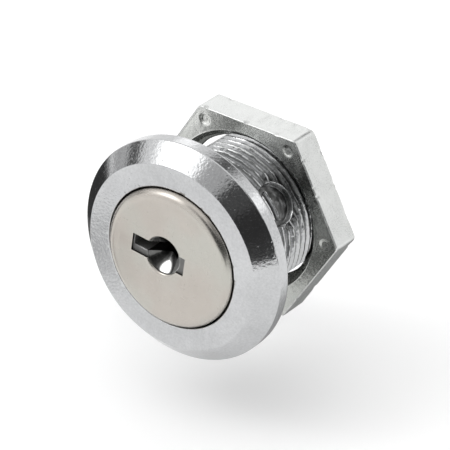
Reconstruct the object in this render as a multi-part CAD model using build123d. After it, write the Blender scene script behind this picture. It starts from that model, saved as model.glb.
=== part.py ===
from build123d import *
import math
import os

# Cam lock: threaded die-cast housing with a bevelled bezel, a keyed plug with
# spring-loaded wafers, a hexagonal fixing nut and a flat cam at the rear.
#
# Modelling frame, in millimetres: +Z points out of the lock's face, X to the right
# and Y up as seen by someone facing the lock. The origin is on the barrel's axis, at
# the bezel's rear seating face. Angles are in degrees from +X towards +Y.
# Each piece is turned as it is written, so that the face looks along -Y, the barrel
# runs along +Y and +Z is up.
#
# Name endings: _r radius, _z place along the axis, _w width, _t thickness along the axis.

overshoot = 1.0           # how far a cutting body runs past what it cuts

# ---------------------------------------------------------------- bezel
bezel_r = 14.0
bezel_band_z = 1.8        # top of the cylindrical rim band
bezel_front_z = 4.0       # flat ring at the front
ring_r = 11.8             # outside of the flat ring, where the bevel starts
recess_r = 9.0            # recess that the capped plug head turns in
recess_floor_z = 1.2
relief_r = 9.95           # undercut at the seat, so that a panel lies flat over the thread
relief_depth = 0.25

# ---------------------------------------------------------------- barrel
barrel_rear_z = -16.0
bore_r = 6.85
barrel_chamfer = 0.45
bore_chamfer = 0.25
thread_crest_r = 9.8
thread_root_r = 9.2
thread_pitch = 1.0
thread_front_z = -0.9
thread_rear_z = -15.3
flats_across = 17.5       # two anti-rotation flats
flat_front_z = -0.3
flat_angle = 129.5        # normal of the first flat
mark_angle = 34.0         # round ejector mark that interrupts the thread
mark_z = -5.82
mark_r = 2.6
mark_floor_r = 9.0
remnant_r = 9.36          # crest of the thread remnants in the mark, just under the nut's thread
remnant_area_r = 1.95     # round area that the remnants fill
remnant_shift = 0.45      # remnants' offset along the axis from the main thread
groove_r = 7.8            # bottom of the wafer grooves broached in the bore
groove_w = 5.0
groove_front_z = 0.45

# ---------------------------------------------------------------- plug
keyway_angle = -8.9       # direction of the keyway's long side
plug_r = 6.80
plug_head_r = 8.5
plug_neck_r = 8.15
plug_front_z = 4.45
plug_neck_z = 2.72
plug_shoulder_z = 1.25
plug_rear_z = -16.05
plug_chamfer = 0.2
screw_hole_r = 2.5
screw_hole_end_z = -13.2
tail_across = 6.6         # square drive for the stop washer and cam
tail_corner_r = 4.4
tail_rear_z = -18.95
tail_across_gap = 0.1     # how much larger the washer's and cam's square holes are
tail_corner_gap = 0.08

# In the keyway frame u runs along the keyway's long side and v across it.
hole_u, hole_v, hole_r = -0.67, 0.33, 2.36   # round widening of the cap's opening
blade_u0, blade_u1, blade_v0, blade_v1 = -4.96, 0.75, -0.12, 1.22   # keyway in the plug
keyway_end_z = -12.4
funnel_tip_r = 0.25       # tapered lead-in around the keyway
funnel_depth = 2.08

# ---------------------------------------------------------------- wafers and springs
wafer_front_z = -0.4      # middle of the first wafer
wafer_pitch = 1.7
wafer_t = 1.0
wafer_w = 4.6
wafer_r = 6.75
wafer_slot_t = 1.06
wafer_slot_w = 4.7
window_gap_u, window_v0, window_v1 = 0.2, -0.3, 1.45   # window round the blade
window_shifts = (0.15, 0.40, 0.0, 0.30, 0.10, 0.45, 0.20)   # key code, one per wafer
peg_w = 1.0               # peg on the wafer that its spring bears on
peg_v = 3.95              # outer end of the peg
peg_overlap = 0.2         # how far the peg sinks into the wafer
peg_slot_v0, peg_slot_v1 = 2.2, 4.1
peg_clearance = 0.05
travel_out = 0.8          # wafer travel into the housing groove, towards +u
travel_back = 0.4         # over-lift towards -u
spring_u0, spring_u1 = -5.0, -1.0
spring_v = 3.35
spring_bore_r = 0.72
spring_gap = 0.03         # at each end of the spring
spring_mean_r = 0.50
spring_wire_r = 0.12
spring_turns = 6
wire_sides = 12           # flats on the round wire, at the wire's true area

# middle height of each wafer, and the side (+v or -v) its spring is on
wafer_places = [
    (wafer_front_z - wafer_pitch * i, 1 if i % 2 == 0 else -1)
    for i in range(len(window_shifts))
]

# ---------------------------------------------------------------- face cap
cap_t = 0.32
cap_gap = 0.03            # between the cap and the plug head
cap_neck_gap = 0.06
cap_r = plug_head_r + cap_gap + cap_t
cap_front_z = plug_front_z + cap_gap + cap_t
cap_lip_z = 2.40
cap_lip_t = 0.28
cap_edge_r = 1.2          # soft edge of the pressed cap
plug_edge_r = cap_edge_r - 0.28
key_u0, key_u1, key_v0, key_v1 = -5.08, 2.45, -0.93, 1.42   # opening, keyway frame

# ---------------------------------------------------------------- stops and stop washer
cam_angle = 219.5         # direction the cam points in
lug_angle = cam_angle - 180.0
lug_half_angle = 14.5
turn_angle = 90.0
tab_inner_r, tab_outer_r = 7.95, 8.6
tab_height = 0.98
tab_gap_angle = 1.0       # between lug and tab at the end of the turn
tab_span_angle = 20.0
washer_front_z, washer_rear_z = -16.15, -17.0
washer_r = 7.6
lug_inner_r, lug_outer_r = 6.5, 8.5
washer_chamfer = 0.1

# ---------------------------------------------------------------- cam
cam_front_z, cam_rear_z = -17.05, -19.05
cam_head_r = 7.0
cam_taper_x0, cam_taper_x1 = 9.0, 14.0   # where the arm narrows
cam_taper_fillet = 3.0
cam_reach = 30.0
cam_tip_w = 11.0
cam_tip_corner = 2.5
cam_chamfer = 0.15

# ---------------------------------------------------------------- lock washer and screw
lock_front_z, lock_rear_z = -19.07, -19.95
lock_outer_r, lock_inner_r = 4.5, 2.6
split_gap = 0.5
split_tilt = 20
screw_head_r = 4.2
screw_shank_r = 2.45
screw_seat_z = -19.97
screw_rear_z = -22.1
screw_front_z = -13.6
screw_slot_half_length, screw_slot_half_width = 2.1, 0.42
screw_slot_floor_z = -21.0
screw_slot_angle = 25

# ---------------------------------------------------------------- nut
nut_across = 24.0
nut_front_z = -10.1
nut_rear_z = nut_front_z - 3.9
nut_angle = -3.3          # turn of the hexagon about the axis
nut_corner_fillet = 0.7
nut_edge_fillet = 0.18
nut_sink_r = 10.45
nut_minor_r = 9.4
nut_major_r = 9.92
dent_place_r = 12.0       # six round dents in the nut's front face
dent_r = 0.75
dent_depth = 0.25


# ================================================================ helpers
def turned(points):
    """Body of revolution about Z from (radius, z, corner rounding) points."""
    joints = []           # for each corner: start, middle and end of its rounding
    for i, (x, z, rounding) in enumerate(points):
        corner = Vector(x, 0, z)
        if rounding <= 0:
            joints.append((corner, None, corner))
            continue
        before, after = points[i - 1], points[(i + 1) % len(points)]
        back = (Vector(before[0], 0, before[1]) - corner).normalized()
        ahead = (Vector(after[0], 0, after[1]) - corner).normalized()
        half = math.acos(back.dot(ahead)) / 2
        setback = rounding / math.tan(half)
        inward = (back + ahead).normalized()
        middle = corner + inward * (rounding / math.sin(half) - rounding)
        joints.append((corner + back * setback, middle, corner + ahead * setback))
    edges = []
    for i, (start, middle, end) in enumerate(joints):
        if middle is not None:
            edges.append(Edge.make_three_point_arc(start, middle, end))
        following = joints[(i + 1) % len(joints)][0]
        if (following - end).length > 1e-6:
            edges.append(Edge.make_line(end, following))
    return revolve(Face(Wire(edges)), Axis.Z, 360)


def ridge(base_r, tip_r, base_w, tip_w, z0, z1):
    """Helical ridge of trapezoid section around Z, pointing outwards or inwards."""
    path = Helix(pitch=thread_pitch, height=z1 - z0, radius=base_r)
    sunk_r = base_r - (0.05 if tip_r > base_r else -0.05)
    half_base = base_w / 2 + 0.02
    section = Face(Wire.make_polygon([
        Vector(sunk_r, 0, -half_base),
        Vector(sunk_r, 0, half_base),
        Vector(tip_r, 0, tip_w / 2),
        Vector(tip_r, 0, -tip_w / 2),
    ], close=True))
    return Pos(0, 0, z0) * sweep(section, path=path, is_frenet=True)


def tube(outer_r, z0, z1, inner_r=0):
    """Ring around Z between two heights, or a disc without inner_r."""
    height = abs(z1 - z0)
    middle = Pos(0, 0, (z0 + z1) / 2)
    shape = middle * Cylinder(outer_r, height)
    if inner_r > 0:
        shape -= middle * Cylinder(inner_r, height + overshoot)
    return shape


def block(x0, x1, y0, y1, z0, z1):
    return Pos((x0 + x1) / 2, (y0 + y1) / 2, (z0 + z1) / 2) * Box(
        abs(x1 - x0), abs(y1 - y0), abs(z1 - z0)
    )


def sector(inner_r, outer_r, angle0, angle1, z0, z1):
    """Ring sector from angle0 to angle1, with z0 below z1."""
    def at(radius, angle):
        turn = math.radians(angle)
        return Vector(radius * math.cos(turn), radius * math.sin(turn), z0)
    middle = (angle0 + angle1) / 2
    wire = Wire([
        Edge.make_line(at(inner_r, angle0), at(outer_r, angle0)),
        Edge.make_three_point_arc(at(outer_r, angle0), at(outer_r, middle), at(outer_r, angle1)),
        Edge.make_line(at(outer_r, angle1), at(inner_r, angle1)),
        Edge.make_three_point_arc(at(inner_r, angle1), at(inner_r, middle), at(inner_r, angle0)),
    ])
    return extrude(Face(wire), z1 - z0, dir=(0, 0, 1))


def square_drive(across, corner_r, z0, z1):
    half = across / 2
    square = block(-half, half, -half, half, z0, z1) & tube(corner_r, z0, z1)
    return Rot(0, 0, cam_angle) * square


def drive_hole(rear_z, front_z):
    return square_drive(
        tail_across + tail_across_gap, tail_corner_r + tail_corner_gap,
        rear_z - overshoot, front_z + overshoot,
    )


def end_edges(shape):
    """Edges of the front and rear faces."""
    faces = shape.faces().sort_by(Axis.Z)
    return faces[-1].edges() + faces[0].edges()


def in_keyway_frame(shape):
    return Rot(0, 0, keyway_angle) * shape


def write(name, shape):
    solids = shape.solids()
    if len(solids) != 1:
        raise ValueError(f"{name}: {len(solids)} solids")
    export_step(Rot(90, 0, 0) * solids[0], f"parts/{name}.step")


# ================================================================ pieces
def mark_bar(radius):
    """Radial bar through the barrel wall at the ejector mark."""
    bar = Pos(0, 0, 10) * Cylinder(radius, 6)
    return Rot(0, 0, mark_angle) * (Pos(0, 0, mark_z) * Rot(0, 90, 0) * bar)


def stop_tab(angle0):
    return sector(
        tab_inner_r, tab_outer_r, angle0, angle0 + tab_span_angle,
        barrel_rear_z - tab_height, barrel_rear_z + 0.05,
    )


def make_housing():
    core = turned([
        (recess_r, bezel_front_z, 0.15),
        (ring_r, bezel_front_z, 0.25),
        (bezel_r, bezel_band_z, 0.25),
        (bezel_r, 0.0, 0.35),
        (relief_r, 0.0, 0.0),
        (relief_r, relief_depth, 0.08),
        (thread_root_r, relief_depth, 0.12),
        (thread_root_r, barrel_rear_z + barrel_chamfer, 0.0),
        (thread_root_r - barrel_chamfer, barrel_rear_z, 0.0),
        (bore_r + bore_chamfer, barrel_rear_z, 0.0),
        (bore_r, barrel_rear_z + bore_chamfer, 0.0),
        (bore_r, recess_floor_z, 0.12),
        (recess_r, recess_floor_z, 0.25),
    ])
    thread = ridge(thread_root_r, thread_crest_r, 0.86, 0.20, thread_rear_z, thread_front_z)
    flat_half = flats_across / 2
    for angle in (flat_angle, flat_angle + 180):
        cutter = Rot(0, 0, angle) * block(
            flat_half, flat_half + 8, -12, 12, barrel_rear_z - overshoot, flat_front_z
        )
        core -= cutter
        thread -= cutter

    # ejector mark, with two short thread remnants left on its front half
    bar = mark_bar(mark_r)
    core -= bar & tube(11.5, mark_z - 4, mark_z + 4, mark_floor_r)
    thread -= bar
    remnants = ridge(
        mark_floor_r, remnant_r, 0.62, 0.24, thread_rear_z + remnant_shift, thread_front_z
    )
    remnants = remnants & mark_bar(remnant_area_r)
    remnants = remnants & block(-14, 14, -14, 14, mark_z + 0.05, mark_z + 3.0)

    # four wafer grooves, open at the barrel's rear
    for k in range(4):
        core -= Rot(0, 0, keyway_angle + 90 * k) * block(
            5.0, groove_r, -groove_w / 2, groove_w / 2,
            barrel_rear_z - overshoot, groove_front_z,
        )

    housing = core + thread
    for remnant in remnants.solids():
        housing += remnant

    # two stop tabs that limit the plug to a quarter turn
    reach = lug_half_angle + tab_gap_angle
    tab_a = stop_tab(lug_angle + reach)
    tab_b = stop_tab(lug_angle - turn_angle - reach - tab_span_angle)
    return housing + tab_a + tab_b


def plug_cuts():
    """Keyway, lead-in, wafer slots and spring pockets, in the keyway frame."""
    funnel_end_z = plug_front_z - funnel_depth
    funnel = turned([
        (0.0, plug_front_z + 0.2, 0.0),
        (hole_r + 0.02, plug_front_z + 0.2, 0.0),
        (hole_r - 0.08, plug_front_z - 0.05, 0.0),
        (funnel_tip_r, funnel_end_z, 0.0),
        (0.0, funnel_end_z, 0.0),
    ])
    cuts = [
        block(blade_u0, blade_u1, blade_v0, blade_v1, keyway_end_z, plug_front_z + overshoot),
        Pos(hole_u, hole_v, 0) * funnel,
    ]
    slot_u = plug_r + overshoot
    for z, side in wafer_places:
        z0, z1 = z - wafer_slot_t / 2, z + wafer_slot_t / 2
        cuts.append(block(-slot_u, slot_u, -wafer_slot_w / 2, wafer_slot_w / 2, z0, z1))
        cuts.append(block(
            spring_u1 - travel_back - peg_clearance,
            spring_u1 + peg_w + travel_out + peg_clearance,
            side * peg_slot_v0, side * peg_slot_v1, z0, z1,
        ))
        spring_bore = Rot(0, 90, 0) * Cylinder(spring_bore_r, spring_u1 - spring_u0)
        cuts.append(Pos((spring_u0 + spring_u1) / 2, side * spring_v, z) * spring_bore)
    return cuts


def make_plug():
    plug = turned([
        (0.0, plug_front_z, 0.0),
        (plug_head_r, plug_front_z, plug_edge_r),
        (plug_head_r, plug_neck_z, 0.0),
        (plug_neck_r, plug_neck_z, 0.0),
        (plug_neck_r, plug_shoulder_z, 0.0),
        (plug_r, plug_shoulder_z, 0.0),
        (plug_r, plug_rear_z + plug_chamfer, 0.0),
        (plug_r - plug_chamfer, plug_rear_z, 0.0),
        (0.0, plug_rear_z, 0.0),
    ])
    plug += square_drive(tail_across, tail_corner_r, tail_rear_z, plug_rear_z + 0.5)
    plug -= tube(screw_hole_r, tail_rear_z - overshoot, screw_hole_end_z)
    for cut in plug_cuts():
        plug -= in_keyway_frame(cut)
    return plug


def make_wafer(z, side, shift):
    z0, z1 = z - wafer_t / 2, z + wafer_t / 2
    wafer = block(-wafer_r, wafer_r, -wafer_w / 2, wafer_w / 2, z0, z1)
    wafer = wafer & tube(wafer_r, z - 2, z + 2)
    wafer += block(
        spring_u1, spring_u1 + peg_w,
        side * (wafer_w / 2 - peg_overlap), side * peg_v, z0, z1,
    )
    wafer -= block(
        blade_u0 - window_gap_u + shift, blade_u1 + window_gap_u + shift,
        window_v0, window_v1, z - overshoot, z + overshoot,
    )
    return in_keyway_frame(wafer)


def make_coil():
    """Wafer spring along +X, starting at the origin."""
    height = spring_u1 - spring_u0 - 2 * spring_gap - 2 * spring_wire_r
    path = Helix(pitch=height / spring_turns, height=height, radius=spring_mean_r)
    area_factor = 2 * math.pi / (wire_sides * math.sin(2 * math.pi / wire_sides))
    wire_corner_r = spring_wire_r * math.sqrt(area_factor)
    start = Plane(origin=path @ 0, z_dir=path % 0)
    coil = sweep(start * RegularPolygon(wire_corner_r, wire_sides), path=path, is_frenet=True)
    return Rot(0, 90, 0) * (Pos(0, 0, spring_wire_r) * coil)


def make_face_cap():
    inner_neck_r = plug_neck_r + cap_neck_gap
    inner_r = plug_head_r + cap_gap
    inner_z = plug_front_z + cap_gap
    cap = turned([
        (0.0, cap_front_z, 0.0),
        (cap_r, cap_front_z, cap_edge_r),
        (cap_r, cap_lip_z, 0.10),
        (inner_neck_r, cap_lip_z, 0.10),
        (inner_neck_r, cap_lip_z + cap_lip_t, 0.0),
        (inner_r, cap_lip_z + cap_lip_t, 0.0),
        (inner_r, inner_z, cap_edge_r - cap_t),
        (0.0, inner_z, 0.0),
    ])
    opening = block(
        key_u0, key_u1, key_v0, key_v1, plug_front_z - overshoot, cap_front_z + overshoot
    )
    opening += Pos(hole_u, hole_v, cap_front_z) * Cylinder(hole_r, 3)
    return cap - in_keyway_frame(opening)


def make_stop_washer():
    washer = tube(washer_r, washer_rear_z, washer_front_z)
    washer += sector(
        lug_inner_r, lug_outer_r, lug_angle - lug_half_angle, lug_angle + lug_half_angle,
        washer_rear_z, washer_front_z,
    )
    washer = chamfer(end_edges(washer), washer_chamfer)
    return washer - drive_hole(washer_rear_z, washer_front_z)


def make_cam():
    """Modelled pointing along +X, then turned to its angle."""
    half_tip = cam_tip_w / 2
    upper = [
        (0.0, cam_head_r), (cam_taper_x0, cam_head_r),
        (cam_taper_x1, half_tip), (cam_reach, half_tip),
    ]
    outline = upper + [(x, -y) for x, y in reversed(upper)]
    wire = Wire.make_polygon([Vector(x, y, cam_rear_z) for x, y in outline], close=True)
    arm = extrude(Face(wire), cam_front_z - cam_rear_z, dir=(0, 0, 1))
    for x0, x1, radius in (
        (cam_reach, cam_reach, cam_tip_corner),
        (cam_taper_x0, cam_taper_x1, cam_taper_fillet),
    ):
        corners = arm.edges().filter_by(Axis.Z).filter_by_position(Axis.X, x0 - 0.1, x1 + 0.1)
        arm = fillet(corners, radius)
    cam = arm + tube(cam_head_r, cam_rear_z, cam_front_z)
    cam = Rot(0, 0, cam_angle) * chamfer(end_edges(cam), cam_chamfer)
    return cam - drive_hole(cam_rear_z, cam_front_z)


def make_lock_washer():
    """Ring split by a slanted gap on +X."""
    ring = tube(lock_outer_r, lock_rear_z, lock_front_z, lock_inner_r)
    return ring - Pos(3.5, 0, -19.5) * Rot(split_tilt, 0, 0) * Box(4, split_gap, 4)


def make_cam_screw():
    head = turned([
        (0.0, screw_seat_z, 0.0),
        (screw_head_r, screw_seat_z, 0.12),
        (screw_head_r, -21.2, 0.7),
        (2.6, screw_rear_z, 0.6),
        (0.0, screw_rear_z, 0.0),
    ])
    shank = turned([
        (0.0, -19.9, 0.0),
        (screw_shank_r, -19.9, 0.0),
        (screw_shank_r, screw_front_z - 0.5, 0.0),
        (2.0, screw_front_z, 0.0),
        (0.0, screw_front_z, 0.0),
    ])
    # the short disc joins head and shank
    screw = head + shank + tube(screw_shank_r, -20.2, -19.5)
    for angle in (0, 90):
        screw -= Rot(0, 0, angle + screw_slot_angle) * block(
            -screw_slot_half_length, screw_slot_half_length,
            -screw_slot_half_width, screw_slot_half_width, -23, screw_slot_floor_z,
        )
    return screw


def make_hex_nut():
    hexagon = RegularPolygon(nut_across / 2, 6, major_radius=False, rotation=nut_angle)
    nut = extrude(Pos(0, 0, nut_rear_z) * hexagon, nut_front_z - nut_rear_z, dir=(0, 0, 1))
    nut = fillet(nut.edges().filter_by(Axis.Z), nut_corner_fillet)
    for end in (-1, 0):
        nut = fillet(nut.faces().sort_by(Axis.Z)[end].edges(), nut_edge_fillet)
    nut -= tube(nut_major_r, nut_rear_z - overshoot, nut_front_z + overshoot)

    # the nut's ridge runs half a pitch off the barrel's
    thread = ridge(
        nut_major_r, nut_minor_r, 0.62, 0.10, thread_rear_z - thread_pitch / 2, -8.8
    )
    thread &= tube(nut_sink_r + 1, nut_rear_z + 0.02, nut_front_z - 0.02)

    # 45 degree countersink at each end
    sink_depth = nut_sink_r - nut_minor_r + 0.05
    for z, outward in ((nut_front_z, 1), (nut_rear_z, -1)):
        cone = turned([
            (0.0, z + outward * 0.5, 0.0),
            (nut_sink_r + 0.5, z + outward * 0.5, 0.0),
            (nut_minor_r - 0.05, z - outward * sink_depth, 0.0),
            (0.0, z - outward * sink_depth, 0.0),
        ])
        nut -= cone
        thread -= cone
    for piece in thread.solids():
        nut += piece
    for k in range(6):
        dent = Pos(dent_place_r, 0, nut_front_z) * Cylinder(dent_r, 2 * dent_depth)
        nut -= Rot(0, 0, nut_angle + 60 * k) * dent
    return nut


# ================================================================ write
os.makedirs("parts", exist_ok=True)
write("housing", make_housing())
write("plug", make_plug())
coil = make_coil()
for number, ((z, side), shift) in enumerate(zip(wafer_places, window_shifts), start=1):
    write(f"wafer_{number}", make_wafer(z, side, shift))
    spring = Pos(spring_u0 + spring_gap, side * spring_v, z) * coil
    write(f"wafer_spring_{number}", in_keyway_frame(spring))
write("face_cap", make_face_cap())
write("stop_washer", make_stop_washer())
write("cam", make_cam())
write("lock_washer", make_lock_washer())
write("cam_screw", make_cam_screw())
write("hex_nut", make_hex_nut())
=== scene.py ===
"""A cam lock: chromed housing, hex nut and pressed face cap are built here; the plug, wafers,
springs, washers, cam and screw are the CAD pieces with new materials.

Pieces are drawn in the lock's own frame in millimetres: x right, y up, z out of the face, with
the lock's axis on z. to_row() turns that into the row frame in metres: X = x, Y = -z, Z = y.
Angles round the axis are in degrees from +x towards +y unless a comment says otherwise.
"""
import math

import bpy
import numpy as np
from mathutils import Matrix, Vector


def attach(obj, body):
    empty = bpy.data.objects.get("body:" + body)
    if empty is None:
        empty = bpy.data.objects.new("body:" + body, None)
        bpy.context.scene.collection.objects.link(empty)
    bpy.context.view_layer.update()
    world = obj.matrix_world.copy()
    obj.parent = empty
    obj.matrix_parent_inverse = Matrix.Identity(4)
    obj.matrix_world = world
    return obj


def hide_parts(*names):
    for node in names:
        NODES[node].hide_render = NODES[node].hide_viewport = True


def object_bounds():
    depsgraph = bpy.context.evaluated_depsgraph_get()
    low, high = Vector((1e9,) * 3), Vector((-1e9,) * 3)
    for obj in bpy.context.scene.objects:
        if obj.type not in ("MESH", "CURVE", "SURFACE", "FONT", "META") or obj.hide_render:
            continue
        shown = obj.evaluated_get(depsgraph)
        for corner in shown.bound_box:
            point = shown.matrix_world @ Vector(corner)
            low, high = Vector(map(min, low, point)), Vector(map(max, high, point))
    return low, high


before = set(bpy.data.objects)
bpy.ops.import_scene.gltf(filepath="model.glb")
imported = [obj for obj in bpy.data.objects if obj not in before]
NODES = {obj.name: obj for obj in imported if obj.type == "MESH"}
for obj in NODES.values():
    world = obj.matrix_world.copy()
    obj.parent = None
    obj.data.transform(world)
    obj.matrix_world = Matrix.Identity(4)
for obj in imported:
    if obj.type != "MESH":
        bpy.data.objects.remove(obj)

CAD_BOX = [list(v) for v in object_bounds()]
MM = 0.001
FULL_TURN = 2 * math.pi

# ---------------------------------------------------------------- dimensions (_R is a radius)
# Bezel, its raised ring and the recess for the cap
BEZEL_R, BAND, BEZEL_H, RING_R = 14.0, 1.8, 4.0, 11.8
RECESS_R, RECESS_Z = 9.0, 1.2
RELIEF_R, RELIEF = 9.95, 0.25       # shallow relief behind the bezel, round the barrel
BEHIND_BEZEL = -0.15                # where the front outline closes behind the bezel
# Barrel and its thread
BORE, BARREL = 6.85, 16.0
BORE_ROUND = 0.12                   # rounding of the bore's front edge
CREST, ROOT, PITCH, THREAD_Z0 = 9.8, 9.2, 1.0, -15.3
FLAT, FLAT_ANGLES = 8.75, (129.5, 309.5)
NO_FLAT = 99.0                      # radius that never cuts the barrel
# Round ejector mark on the barrel
MARK_ANGLE, MARK_Z, MARK_R, MARK_FLOOR = 34.0, -5.82, 2.6, 9.0
MARK_SURFACE = 9.4                  # radius at which distances from the mark are taken
MARK_FINE_Z, MARK_FINE_ANGLE = 2.85, 19.0   # half extents of the finer mesh round the mark
# Four grooves in the bore
GROOVE_R, GROOVE_W, GROOVE_Z = 7.8, 5.0, 0.45
SLOT_ANGLE = -8.9
# Two tabs on the rear face, either side of the lug's sweep
CAM_ANGLE, LUG_HALF, TURN = 219.5, 14.5, 90.0
LUG_ANGLE = CAM_ANGLE - 180.0
TAB_R0, TAB_R1, TAB_H = 7.95, 8.6, 0.98
TAB_CLEAR, TAB_ARC, TAB_BEVEL = 1.0, 20.0, 0.08
TAB_AFTER = LUG_ANGLE + LUG_HALF + TAB_CLEAR
TAB_BEFORE = LUG_ANGLE - TURN - LUG_HALF - TAB_CLEAR
TAB_SPANS = ((TAB_AFTER, TAB_AFTER + TAB_ARC), (TAB_BEFORE - TAB_ARC, TAB_BEFORE))
# Key opening in its own u, v frame, turned by SLOT_ANGLE: a slot with a round hole across it
KEY_U0, KEY_U1, KEY_V0, KEY_V1 = -5.08, 2.45, -0.93, 1.42
HOLE_U, HOLE_V, HOLE_R = -0.67, 0.33, 2.36
# Face cap
CAP_R, CAP_FRONT, CAP_LIP, CAP_EDGE, CAP_T = 8.85, 4.80, 2.40, 1.2, 0.32
CAP_UNDER = CAP_FRONT - CAP_T
CAP_INNER_R = CAP_R - CAP_T
# Hex nut
NUT_AF, NUT_FRONT, NUT_T, NUT_ANGLE, NUT_SINK = 24.0, -10.1, 3.9, -3.3, 10.45
NUT_BACK = NUT_FRONT - NUT_T
NUT_MINOR, NUT_MAJOR = 9.4, 9.92
NUT_CORNER, NUT_EDGE = 0.7, 0.18    # rounding of the six corners and of the face edges
DIMPLE_AT = 12.0                    # distance of the front face's dimples from the axis

ANGLE_COUNT = 720                   # even steps round every piece
CORNER_STEPS = 6                    # steps round each corner of the bezel's outline


# ---------------------------------------------------------------- smooth steps and seeded noise
def smooth(value, low, high):
    t = np.clip((value - low) / (high - low), 0, 1)
    return t * t * (3 - 2 * t)


def noise(u, v, seed, columns=64, rows=64):
    """Smooth noise in -1..1. u repeats every `columns` cells and v every `rows` cells."""
    lattice = np.random.default_rng(seed).uniform(-1, 1, (columns, rows))
    u, v = np.broadcast_arrays(np.asarray(u, float), np.asarray(v, float))
    i, j = np.floor(u).astype(int), np.floor(v).astype(int)
    across, along = u - i, v - j
    across = across * across * (3 - 2 * across)
    along = along * along * (3 - 2 * along)

    def blend(row):
        left, right = lattice[i % columns, row % rows], lattice[(i + 1) % columns, row % rows]
        return left * (1 - across) + right * across

    return blend(j) * (1 - along) + blend(j + 1) * along


def noise_round(theta, cells, v, seed, rows=64):
    """Noise that closes on itself, with `cells` cells in one turn."""
    return noise(np.degrees(theta) / 360 * cells, v, seed, cells, rows)


# ---------------------------------------------------------------- geometry helpers
def off_angle(theta, centre):
    """Signed angle in radians from `centre` (degrees), in -pi..pi."""
    return (theta - math.radians(centre) + math.pi) % FULL_TURN - math.pi


def ring_angles(extra=(), fine=None):
    """Angles of a ring's points in radians: even steps, a close pair at each extra angle, and
    finer steps inside fine = (start, end, step). All given in degrees."""
    angles = list(np.arange(ANGLE_COUNT) * 360.0 / ANGLE_COUNT)
    if fine is not None:
        angles = [a for a in angles if not fine[0] <= a <= fine[1]] + list(np.arange(*fine))
    angles = sorted(angles + [(e + side) % 360.0 for e in extra for side in (-0.04, 0.04)])
    kept = [angles[0]]
    for angle in angles[1:]:
        if angle - kept[-1] > 0.02:
            kept.append(angle)
    return np.radians(np.array(kept))


def rounded(corners):
    """Closed outline with round corners from (r, z, corner radius, steps along the next edge)."""
    bends = []
    for i, (x, z, radius, _) in enumerate(corners):
        corner = np.array([x, z])
        if radius <= 0:
            bends.append((corner, corner, []))
            continue
        back = np.array(corners[i - 1][:2]) - corner
        ahead = np.array(corners[(i + 1) % len(corners)][:2]) - corner
        back, ahead = back / np.linalg.norm(back), ahead / np.linalg.norm(ahead)
        half = math.acos(np.clip(back @ ahead, -1, 1)) / 2
        reach = radius / math.tan(half)
        middle = back + ahead
        centre = corner + middle / np.linalg.norm(middle) * radius / math.sin(half)
        start, end = corner + back * reach - centre, corner + ahead * reach - centre
        arc = []
        for k in range(1, CORNER_STEPS):
            t = k / CORNER_STEPS
            spoke = start * (1 - t) + end * t
            arc.append(centre + spoke / np.linalg.norm(spoke) * radius)
        bends.append((corner + back * reach, corner + ahead * reach, arc))
    outline = []
    for i, (start, end, arc) in enumerate(bends):
        outline += [start, *arc]
        if np.linalg.norm(end - start) > 1e-9:
            outline.append(end)
        following = bends[(i + 1) % len(bends)][0]
        steps = corners[i][3]
        outline += [end + (following - end) * k / steps for k in range(1, steps)]
    return np.array(outline)


def crest_distance(theta, z, first):
    """Distance along z to the nearest crest of the helix through z = first, and its turn number."""
    turns = (z - first) / PITCH - theta / FULL_TURN
    nearest = np.round(turns)
    return np.abs(turns - nearest) * PITCH, nearest


def column(rings, index, theta):
    """One column of a list of rings as a (ring, angle) array."""
    return np.array([np.broadcast_to(ring[index], theta.shape) for ring in rings], float)


def turned(radius, z, theta):
    return np.stack([radius * np.cos(theta), radius * np.sin(theta), z], -1)


def from_keyway(u, v):
    """Lock x, y of a point in the keyway's frame."""
    cos, sin = math.cos(math.radians(SLOT_ANGLE)), math.sin(math.radians(SLOT_ANGLE))
    return u * cos - v * sin, u * sin + v * cos


def closed_faces(grid):
    """Quads over a grid that closes both ways, turned so that the volume is positive."""
    count, width = grid.shape[:2]
    i, j = np.meshgrid(np.arange(count), np.arange(width), indexing="ij")
    row, next_row = i * width, (i + 1) % count * width
    next_j = (j + 1) % width
    faces = np.stack([row + j, next_row + j, next_row + next_j, row + next_j], -1).reshape(-1, 4)
    first, second, third, fourth = grid.reshape(-1, 3)[faces.T]
    volume = (np.einsum("ij,ij->i", first, np.cross(second, third)).sum()
              + np.einsum("ij,ij->i", first, np.cross(third, fourth)).sum())
    return faces if volume > 0 else faces[:, ::-1]


def to_row(points):
    return points[..., [0, 2, 1]] * (1, -1, 1) * MM


def add_piece(name, grid, body, node, materials, sharp, face_material=None, painted_shade=None):
    """Makes the mesh object in place of a CAD node. The painted shade per point is stored as a
    float point attribute.
    """
    mesh = bpy.data.meshes.new(name)
    mesh.from_pydata(to_row(grid).reshape(-1, 3).tolist(), [], closed_faces(grid).tolist())
    mesh.update()
    mesh.validate()
    for entry in materials:
        mesh.materials.append(entry)
    if face_material is not None:
        indices = np.asarray(face_material, np.int32).reshape(-1)
        mesh.polygons.foreach_set("material_index", indices)
    if painted_shade is not None:
        attribute = mesh.attributes.new("painted_shade_attr", "FLOAT", "POINT")
        attribute.data.foreach_set("value", np.asarray(painted_shade, np.float32).reshape(-1))
    mesh.polygons.foreach_set("use_smooth", [True] * len(mesh.polygons))
    mesh.set_sharp_from_angle(angle=math.radians(sharp))
    piece = bpy.data.objects.new(name, mesh)
    bpy.context.scene.collection.objects.link(piece)
    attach(piece, body)
    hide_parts(node)


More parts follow.
